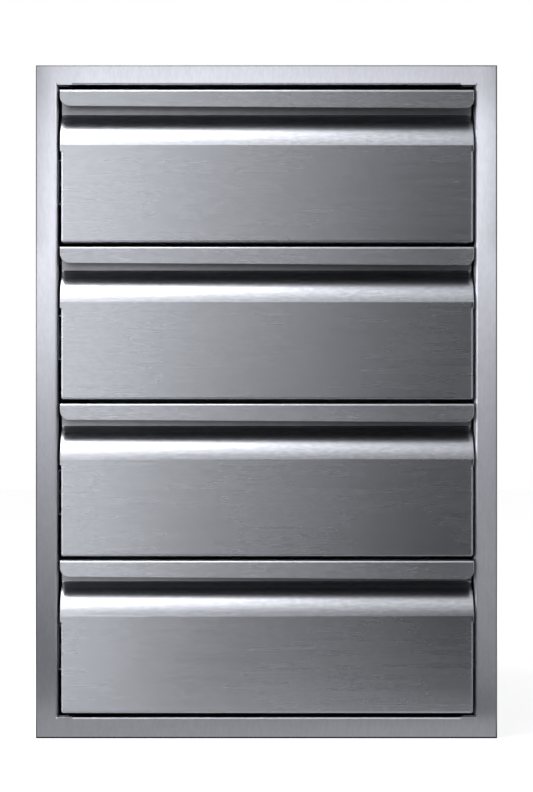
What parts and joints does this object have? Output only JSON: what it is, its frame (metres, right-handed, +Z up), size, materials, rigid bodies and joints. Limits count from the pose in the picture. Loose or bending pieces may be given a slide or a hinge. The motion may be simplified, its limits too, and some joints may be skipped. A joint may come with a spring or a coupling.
{
  "type": "built-in drawer unit",
  "caption": "Built-in stainless drawer stack for an outdoor kitchen: flat face frame, closed box, drawers with rolled finger recesses on full-extension ball-bearing slides.",
  "frame": {"origin": "centre of the bounding box's bottom face: mid-width, mid-depth, at the face frame's bottom edge", "axes": "+X to the right seen from the front, +Y from the drawer fronts back into the unit, +Z up"},
  "size_m": [0.4572, 0.5526, 0.6672],
  "materials": {
    "frame_steel": "brushed along the height, satin",
    "drawer_steel": "brushed along the width, satin",
    "liner_steel": "mill finish, dull",
    "tray_steel": "fine brushed, dull",
    "cabinet_steel": "mill finish, dull",
    "slide_steel": "bright zinc plate",
    "cage_steel": "stamped strip with polished balls",
    "screw_steel": "polished stainless",
    "stop_rubber": "matt black"
  },
  "bodies": {
    "cabinet": {"face_frame": "frame_steel", "cabinet_left_side": "cabinet_steel", "cabinet_right_side": "cabinet_steel", "cabinet_top": "cabinet_steel", "cabinet_bottom": "cabinet_steel", "cabinet_back": "cabinet_steel", "slide_stops": "stop_rubber", "cabinet_slide_screws": "screw_steel", "drawer_1_outer_slides": "slide_steel", "drawer_2_outer_slides": "slide_steel", "drawer_3_outer_slides": "slide_steel", "drawer_4_outer_slides": "slide_steel"},
    "drawer_1": {"drawer_1_front_skin": "drawer_steel", "drawer_1_front_liner": "liner_steel", "drawer_1_end_caps": "liner_steel", "drawer_1_tray": "tray_steel", "drawer_1_inner_slides": "slide_steel", "drawer_1_slide_screws": "screw_steel", "drawer_1_front_screws": "screw_steel"},
    "drawer_1_middle": {"drawer_1_middle_slides": "slide_steel"},
    "drawer_1_outer_cages": {"drawer_1_outer_ball_cages": "cage_steel"},
    "drawer_1_inner_cages": {"drawer_1_inner_ball_cages": "cage_steel"},
    "drawer_2": {"drawer_2_front_skin": "drawer_steel", "drawer_2_front_liner": "liner_steel", "drawer_2_end_caps": "liner_steel", "drawer_2_tray": "tray_steel", "drawer_2_inner_slides": "slide_steel", "drawer_2_slide_screws": "screw_steel", "drawer_2_front_screws": "screw_steel"},
    "drawer_2_middle": {"drawer_2_middle_slides": "slide_steel"},
    "drawer_2_outer_cages": {"drawer_2_outer_ball_cages": "cage_steel"},
    "drawer_2_inner_cages": {"drawer_2_inner_ball_cages": "cage_steel"},
    "drawer_3": {"drawer_3_front_skin": "drawer_steel", "drawer_3_front_liner": "liner_steel", "drawer_3_end_caps": "liner_steel", "drawer_3_tray": "tray_steel", "drawer_3_inner_slides": "slide_steel", "drawer_3_slide_screws": "screw_steel", "drawer_3_front_screws": "screw_steel"},
    "drawer_3_middle": {"drawer_3_middle_slides": "slide_steel"},
    "drawer_3_outer_cages": {"drawer_3_outer_ball_cages": "cage_steel"},
    "drawer_3_inner_cages": {"drawer_3_inner_ball_cages": "cage_steel"},
    "drawer_4": {"drawer_4_front_skin": "drawer_steel", "drawer_4_front_liner": "liner_steel", "drawer_4_end_caps": "liner_steel", "drawer_4_tray": "tray_steel", "drawer_4_inner_slides": "slide_steel", "drawer_4_slide_screws": "screw_steel", "drawer_4_front_screws": "screw_steel"},
    "drawer_4_middle": {"drawer_4_middle_slides": "slide_steel"},
    "drawer_4_outer_cages": {"drawer_4_outer_ball_cages": "cage_steel"},
    "drawer_4_inner_cages": {"drawer_4_inner_ball_cages": "cage_steel"}
  },
  "joints": [
    {"name": "drawer_1_slide", "type": "slide", "parent": "cabinet", "child": "drawer_1", "axis": [0, -1, 0], "range_m": [0, 0.5]},
    {"name": "drawer_1_middle_slide", "type": "slide", "parent": "cabinet", "child": "drawer_1_middle", "axis": [0, -1, 0], "range_m": [0, 0.25]},
    {"name": "drawer_1_outer_cages_slide", "type": "slide", "parent": "cabinet", "child": "drawer_1_outer_cages", "axis": [0, -1, 0], "range_m": [0, 0.125]},
    {"name": "drawer_1_inner_cages_slide", "type": "slide", "parent": "cabinet", "child": "drawer_1_inner_cages", "axis": [0, -1, 0], "range_m": [0, 0.375]},
    {"name": "drawer_2_slide", "type": "slide", "parent": "cabinet", "child": "drawer_2", "axis": [0, -1, 0], "range_m": [0, 0.5]},
    {"name": "drawer_2_middle_slide", "type": "slide", "parent": "cabinet", "child": "drawer_2_middle", "axis": [0, -1, 0], "range_m": [0, 0.25]},
    {"name": "drawer_2_outer_cages_slide", "type": "slide", "parent": "cabinet", "child": "drawer_2_outer_cages", "axis": [0, -1, 0], "range_m": [0, 0.125]},
    {"name": "drawer_2_inner_cages_slide", "type": "slide", "parent": "cabinet", "child": "drawer_2_inner_cages", "axis": [0, -1, 0], "range_m": [0, 0.375]},
    {"name": "drawer_3_slide", "type": "slide", "parent": "cabinet", "child": "drawer_3", "axis": [0, -1, 0], "range_m": [0, 0.5]},
    {"name": "drawer_3_middle_slide", "type": "slide", "parent": "cabinet", "child": "drawer_3_middle", "axis": [0, -1, 0], "range_m": [0, 0.25]},
    {"name": "drawer_3_outer_cages_slide", "type": "slide", "parent": "cabinet", "child": "drawer_3_outer_cages", "axis": [0, -1, 0], "range_m": [0, 0.125]},
    {"name": "drawer_3_inner_cages_slide", "type": "slide", "parent": "cabinet", "child": "drawer_3_inner_cages", "axis": [0, -1, 0], "range_m": [0, 0.375]},
    {"name": "drawer_4_slide", "type": "slide", "parent": "cabinet", "child": "drawer_4", "axis": [0, -1, 0], "range_m": [0, 0.5]},
    {"name": "drawer_4_middle_slide", "type": "slide", "parent": "cabinet", "child": "drawer_4_middle", "axis": [0, -1, 0], "range_m": [0, 0.25]},
    {"name": "drawer_4_outer_cages_slide", "type": "slide", "parent": "cabinet", "child": "drawer_4_outer_cages", "axis": [0, -1, 0], "range_m": [0, 0.125]},
    {"name": "drawer_4_inner_cages_slide", "type": "slide", "parent": "cabinet", "child": "drawer_4_inner_cages", "axis": [0, -1, 0], "range_m": [0, 0.375]}
  ],
  "couplings": [
    {"joint": "drawer_1_middle_slide", "follows": "drawer_1_slide", "ratio": 0.5},
    {"joint": "drawer_1_outer_cages_slide", "follows": "drawer_1_slide", "ratio": 0.25},
    {"joint": "drawer_1_inner_cages_slide", "follows": "drawer_1_slide", "ratio": 0.75},
    {"joint": "drawer_2_middle_slide", "follows": "drawer_2_slide", "ratio": 0.5},
    {"joint": "drawer_2_outer_cages_slide", "follows": "drawer_2_slide", "ratio": 0.25},
    {"joint": "drawer_2_inner_cages_slide", "follows": "drawer_2_slide", "ratio": 0.75},
    {"joint": "drawer_3_middle_slide", "follows": "drawer_3_slide", "ratio": 0.5},
    {"joint": "drawer_3_outer_cages_slide", "follows": "drawer_3_slide", "ratio": 0.25},
    {"joint": "drawer_3_inner_cages_slide", "follows": "drawer_3_slide", "ratio": 0.75},
    {"joint": "drawer_4_middle_slide", "follows": "drawer_4_slide", "ratio": 0.5},
    {"joint": "drawer_4_outer_cages_slide", "follows": "drawer_4_slide", "ratio": 0.25},
    {"joint": "drawer_4_inner_cages_slide", "follows": "drawer_4_slide", "ratio": 0.75}
  ]
}
